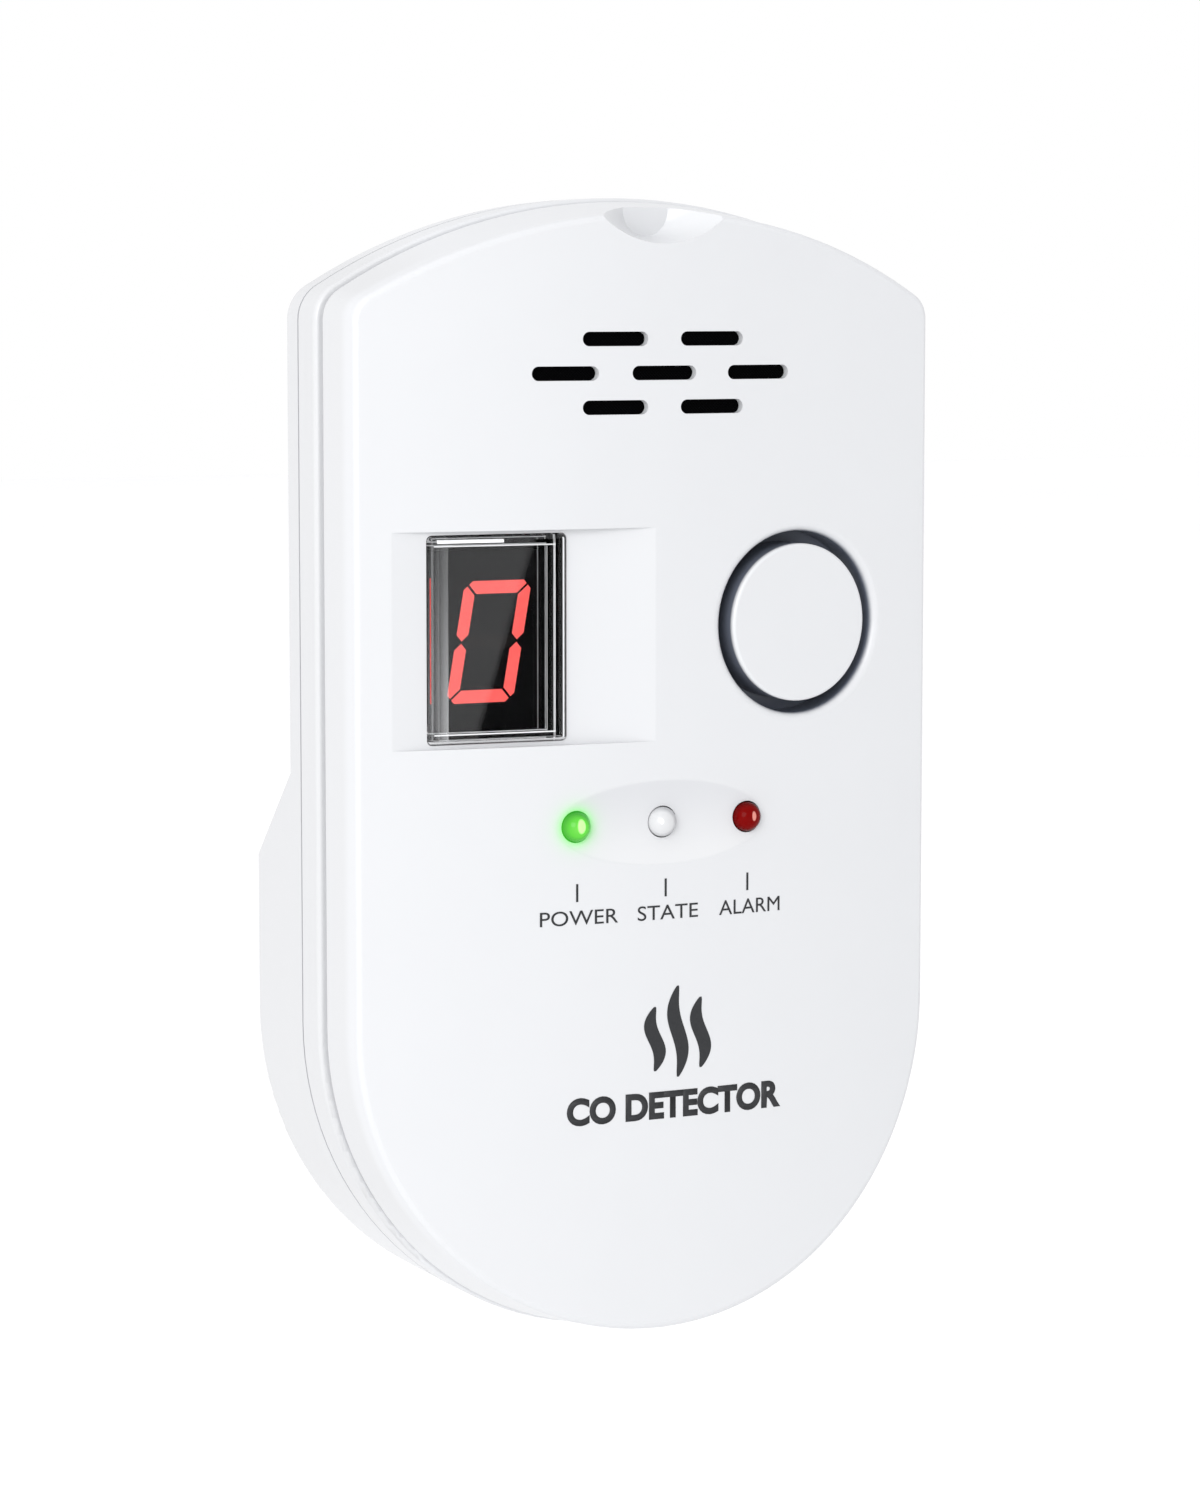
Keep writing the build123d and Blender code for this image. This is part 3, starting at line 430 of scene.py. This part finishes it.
def lampPaint(name, kind):
    # a moulded epoxy lamp: its colour turns from its middle to the rim, painted darker towards the rim as painted
    # shade, with a painted highlight spot
    s = lampSettings[kind]
    lamp = middle(s["node"])
    paint = Paint(name)
    x, y, z = paint.axes()
    across, upward = (x - lamp.x) / lampRadius, (z - lamp.z) / lampRadius
    # painted shade: the middle leans to the left, so the dome is painted darkest at its right rim
    away = ((across - s["lean"]) ** 2 + upward ** 2) ** 0.5
    spotX, spotZ = s["spotPlace"]
    spotWidth, spotHeight = s["spotSize"]
    # painted highlight: a pale oval spot on the dome; for the green lamp it brightens the glow too
    highlightSpot = ((across - spotX) / spotWidth) ** 2 + ((upward - spotZ) / spotHeight) ** 2
    highlightSpot = highlightSpot.fade(*lampShares["spotFade"])
    body = paint.ramp(away, (0.0, s["core"]), (lampShares["coreEnd"], s["core"]), (1.0, s["rim"]))
    values = {"Roughness": paint.noise(0.6 * mm) * 0.05 + 0.1, "Specular_IOR_Level": s["gloss"]}
    if s["glow"]:
        middleGlow, bodyGlow, rimGlow = s["glow"]
        glow = paint.ramp(away, (0.0, middleGlow), (lampShares["glowEnd"], bodyGlow), (1.0, rimGlow))
        values["Emission_Color"] = paint.blend(highlightSpot, glow, s["spot"])
        values["Emission_Strength"] = lampShares["glowLevel"]
    return paint.finish(Base_Color=paint.blend(highlightSpot, body, s["spot"]), **values)


metalSettings = {"grain": 0.08 * mm, "dull": 0.82, "scratch": 0.18, "cloud": 2 * mm, "cloudDepth": 0.08,
                 "relief": 0.002 * mm}


def metalPaint(name, tone, roughness, stretch=(1, 12, 1)):
    # drawn or stamped metal: long fine scratches and a cloudy polish
    s = metalSettings
    paint = Paint(name)
    drawn = paint.node("ShaderNodeMapping", values={"Vector": paint.place(), "Scale": stretch})
    streaks = paint.noise(s["grain"], vector=drawn)
    base = paint.blend(streaks, tone, tuple(s["dull"] * c for c in tone))
    rough = streaks * s["scratch"] + (roughness - 0.05) + paint.noise(s["cloud"]) * s["cloudDepth"]
    return paint.finish(Base_Color=base, Metallic=1.0, Roughness=rough, Normal=paint.bump(streaks, s["relief"]))


plasticSettings = {"cloud": 3 * mm, "lift": 1.25, "grain": 0.2 * mm, "unevenness": 0.15, "relief": 0.003 * mm}


def plasticPaint(name, tone, roughness=0.45):
    # plain moulded plastic with a faint cloud and a fine grain
    s = plasticSettings
    paint = Paint(name)
    base = paint.blend(paint.noise(s["cloud"]), tone, tuple(min(1.0, s["lift"] * c) for c in tone))
    return paint.finish(Base_Color=base, Roughness=paint.noise(s["grain"]) * s["unevenness"] + roughness,
                        Normal=paint.bump(paint.noise(s["grain"]), s["relief"]))


boardSettings = {"weave": 0.6 * mm, "tracks": 5 * mm, "trackPlace": 0.35, "trackHalf": 0.04,
                 "mask": (0.012, 0.10, 0.045), "copper": (0.03, 0.19, 0.08), "relief": 0.03 * mm}


def boardPaint(name):
    # solder mask over a woven laminate, with copper tracks that show as lighter lines
    s = boardSettings
    paint = Paint(name)
    x, y, z = paint.axes()
    pitch = 2 * math.pi / s["weave"]
    weave = x.maths("SINE", x * pitch) * z.maths("SINE", z * pitch)
    lanes = paint.node("ShaderNodeTexVoronoi", {"feature": "F1", "distance": "CHEBYCHEV"},
                       {"Vector": paint.place(), "Scale": 1 / s["tracks"], "Randomness": 0.7})
    track = lanes.maths("COMPARE", lanes, s["trackPlace"], s["trackHalf"])
    base = paint.blend(track, s["mask"], s["copper"])
    return paint.finish(Base_Color=base, Roughness=0.35 + weave * 0.05, Normal=paint.bump(track, s["relief"]))


meshSettings = {"weave": 0.35 * mm, "hole": (0.0005, 0.0005, 0.0005), "thread": (0.004, 0.004, 0.0045),
                "relief": 0.05 * mm}


def meshPaint(name):
    # woven dust cloth: threads cross as the product of two sines
    s = meshSettings
    paint = Paint(name)
    x, y, z = paint.axes()
    pitch = 2 * math.pi / s["weave"]
    weave = x.maths("SINE", x * pitch) * z.maths("SINE", z * pitch)
    base = paint.blend(weave * 0.5 + 0.5, s["hole"], s["thread"])
    return paint.finish(Base_Color=base, Roughness=0.9, Specular_IOR_Level=0.0,
                        Normal=paint.bump(weave, s["relief"]))


windingSettings = {"turn": 0.45 * mm, "low": (0.62, 0.42, 0.05), "high": (0.78, 0.58, 0.10), "relief": 0.03 * mm}


def windingPaint(name):
    # yellow tape over turns of wire
    s = windingSettings
    paint = Paint(name)
    x, y, z = paint.axes()
    turns = y.maths("SINE", y * (2 * math.pi / s["turn"]))
    base = paint.blend(turns * 0.5 + 0.5, s["low"], s["high"])
    return paint.finish(Base_Color=base, Roughness=0.4, Normal=paint.bump(turns, s["relief"]))


labelSettings = {"inset": 1.2 * mm, "border": 0.12 * mm, "borderTone": (0.06, 0.06, 0.065), "grain": 0.1 * mm,
                 "stretch": (0.1, 1, 1), "dark": (0.36, 0.37, 0.38), "bright": (0.46, 0.47, 0.48)}


def labelPaint(name):
    # silver film with a brushed grain and a thin border: the line lies where the way in from the nearest edge
    # is the inset
    s = labelSettings
    low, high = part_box("rating_label")
    paint = Paint(name)
    x, y, z = paint.axes()
    sideways = abs(x - (low.x + high.x) / 2) - ((high.x - low.x) / 2 - s["inset"])
    upright = abs(z - (low.z + high.z) / 2) - ((high.z - low.z) / 2 - s["inset"])
    line = sideways.upper(upright).within(-s["border"], s["border"])
    brushed = paint.node("ShaderNodeMapping", values={"Vector": paint.place(), "Scale": s["stretch"]})
    film = paint.blend(paint.noise(s["grain"], vector=brushed), s["dark"], s["bright"])
    return paint.finish(Base_Color=paint.blend(line, film, s["borderTone"]), Roughness=0.34, Metallic=0.6)


inkSettings = {"dark": (0.018, 0.019, 0.021), "pale": (0.030, 0.031, 0.034), "cloud": 0.25 * mm,
               "unevenness": 0.4 * mm, "lift": 0.012 * mm, "thickness": 0.02 * mm}


def inkPaint(name):
    # screen-printed dark grey ink with slight unevenness
    s = inkSettings
    paint = Paint(name)
    tone = paint.blend(paint.noise(s["cloud"], detail=3.0), s["dark"], s["pale"])
    return paint.finish(Base_Color=tone, Roughness=paint.noise(s["unevenness"]) * 0.2 + 0.4,
                        Specular_IOR_Level=0.3)


shellWhite = shellPaint("shellWhite")
black = plasticPaint("blackPlastic", (0.012, 0.012, 0.013))
tinned = metalPaint("tinnedMetal", (0.72, 0.72, 0.70), 0.3)
steel = metalPaint("zincSteel", (0.66, 0.66, 0.66), 0.32, stretch=(1, 1, 1))
brass = metalPaint("bladeBrass", (0.76, 0.58, 0.27), 0.28)
finishes = {
    # front and button: painted shade in the gap round the button; the front also carries the lamp's painted halo
    # and the dish's painted shade
    "front_cover": shellPaint("frontWhite", paintedGlow=True, gap=(0.25 * mm, 0.9 * mm)),
    "rear_cover": shellWhite,
    "test_button": shellPaint("buttonWhite", gap=(0.1 * mm, 0.5 * mm)),
    "plug_insert": plasticPaint("insertWhite", (0.70, 0.70, 0.71)),
    "display_window": lensPaint("clearLens"),
    "display_housing": displayPaint("displayBlack", (0.006, 0.006, 0.0065)),
    "unlit_segment": displayPaint("darkSegment", (0.012, 0.010, 0.010)),
    "lit_segments": segmentPaint("litSegment"),
    "power_led": lampPaint("greenLamp", "power"), "state_led": lampPaint("clearLamp", "state"),
    "alarm_led": lampPaint("redLamp", "alarm"),
    "display_gasket": displayPaint("foamBlack", (0.004, 0.004, 0.004)),
    "vent_mesh": meshPaint("dustMesh"), "rating_label": labelPaint("labelFilm"),
    "main_board": boardPaint("boardGreen"), "transformer_winding": windingPaint("windingTape"),
    "transformer_core": plasticPaint("ferrite", (0.05, 0.05, 0.055), 0.6),
    "supply_capacitor": plasticPaint("sleeveBlue", (0.02, 0.03, 0.10), 0.3),
    "sensor_cap": metalPaint("meshSteel", (0.62, 0.62, 0.60), 0.35),
    "crystal": steel, "case_screws": steel, "main_board_screws": steel, "power_board_screws": steel,
    "live_blade": brass, "neutral_blade": brass, "sounder_disc": brass, "header_pins": brass,
}
finishes["power_board"] = finishes["main_board"]
for name in ("display_pins", "led_leads", "sensor_pins", "sounder_pins"):
    finishes[name] = tinned
for name, node in nodes.items():
    node.data.materials.clear()
    node.data.materials.append(finishes.get(name, black))
print("materials ready:", len(bpy.data.materials))


# printing on the front face

ink = inkPaint("printInk")


def onFace(x, z):
    # Points on the bowed face: the face falls back from its crest as a circle does, and the ink lies a little
    # in front of it.
    y = frontY + faceBow - np.sqrt(faceBow ** 2 - x ** 2) - inkSettings["lift"]
    return np.stack([x, y, z], axis=-1)


def gridFaces(rows, columns):
    # Each face joins a point to the next in its row and to the two beside them in the row above.
    corner = np.arange((rows - 1) * columns).reshape(rows - 1, columns)[:, :-1].ravel()
    return np.stack([corner, corner + 1, corner + columns + 1, corner + columns], axis=1).tolist()


def addPrint(name, mesh):
    # a printed piece on the shell: its flat mesh grows outwards by the ink's thickness
    mesh.materials.clear()
    mesh.materials.append(ink)
    mesh.name = name
    piece = bpy.data.objects.new(name, mesh)
    bpy.context.scene.collection.objects.link(piece)
    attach(piece, "shell")
    ply = piece.modifiers.new("inkThickness", "SOLIDIFY")
    ply.thickness = inkSettings["thickness"]
    ply.offset = 1.0


def addGrid(name, x, z):
    mesh = bpy.data.meshes.new(name)
    mesh.from_pydata(onFace(x, z).reshape(-1, 3).tolist(), [], gridFaces(*x.shape))
    addPrint(name, mesh)


def addWords(name, words, left, right, low, high, weight=0.0):
    # Words drawn flat, stretched to their box, then laid on the bowed face.
    curve = bpy.data.curves.new(name, "FONT")
    curve.body = words
    curve.offset = weight
    curve.resolution_u = 6
    drawn = bpy.data.objects.new(name + "Drawn", curve)
    bpy.context.scene.collection.objects.link(drawn)
    bpy.context.view_layer.update()
    mesh = bpy.data.meshes.new_from_object(drawn)
    bpy.data.objects.remove(drawn)
    flat = np.empty(len(mesh.vertices) * 3)
    mesh.vertices.foreach_get("co", flat)
    flat = flat.reshape(-1, 3)[:, :2]
    start, end = flat.min(axis=0), flat.max(axis=0)
    share = (flat - start) / (end - start)
    x = (left + share[:, 0] * (right - left)) * mm
    z = plateFoot + (low + share[:, 1] * (high - low)) * mm
    mesh.vertices.foreach_set("co", onFace(x, z).ravel())
    addPrint(name, mesh)


def addBar(name, centre, width, low, high):
    # A printed bar: a grid across its width and height, laid on the face.
    x, z = np.meshgrid(np.linspace(centre - width / 2, centre + width / 2, 3) * mm,
                       plateFoot + np.linspace(low, high, 3) * mm)
    addGrid(name, x, z)


def addWave(name, centre, low, high, settings):
    # A rising fume: its centre line sways as a sine of height, and its width swells from pointed ends.
    height, side = np.meshgrid(np.linspace(0, 1, settings["steps"]), np.linspace(-0.5, 0.5, 3), indexing="ij")
    width = settings["stroke"] * np.sin(np.pi * (0.01 + 0.98 * height)) ** settings["taper"]
    x = (centre + settings["sway"] * np.sin(settings["turns"] * 2 * np.pi * height) + side * width) * mm
    z = plateFoot + (low + (high - low) * height) * mm
    addGrid(name, x, z)


# places on the face in millimetres: across from the middle, and up from the plate's foot
labelRow = {"low": 44.5, "high": 46.05, "tickLow": 46.95, "tickHigh": 48.85, "tickWidth": 0.25}
labels = {
    "power": {"words": "POWER", "left": -14.3, "right": -5.4, "tick": -10.1},
    "state": {"words": "STATE", "left": -3.1, "right": 4.1, "tick": 0.2},
    "alarm": {"words": "ALARM", "left": 6.7, "right": 14.3, "tick": 10.2},
}
for name, label in labels.items():
    addWords(name + "Words", label["words"], label["left"], label["right"], labelRow["low"], labelRow["high"])
    addBar(name + "Tick", label["tick"], labelRow["tickWidth"], labelRow["tickLow"], labelRow["tickHigh"])

signSettings = {"x": 1.7, "pitch": 2.75, "stroke": 1.75, "taper": 0.6, "sway": 0.55, "turns": 1.0, "steps": 40,
                "waves": ((-1, 28.3, 35.2), (0, 27.5, 37.3), (1, 28.3, 35.9))}
for place, low, high in signSettings["waves"]:
    addWave(f"signWave{place + 2}", signSettings["x"] + place * signSettings["pitch"], low, high, signSettings)

typeSettings = {"words": "CO DETECTOR", "left": -11.3, "right": 14.5, "low": 23.1, "high": 26.1, "weight": 0.045}
addWords("typeWords", **typeSettings)
print("printing ready")
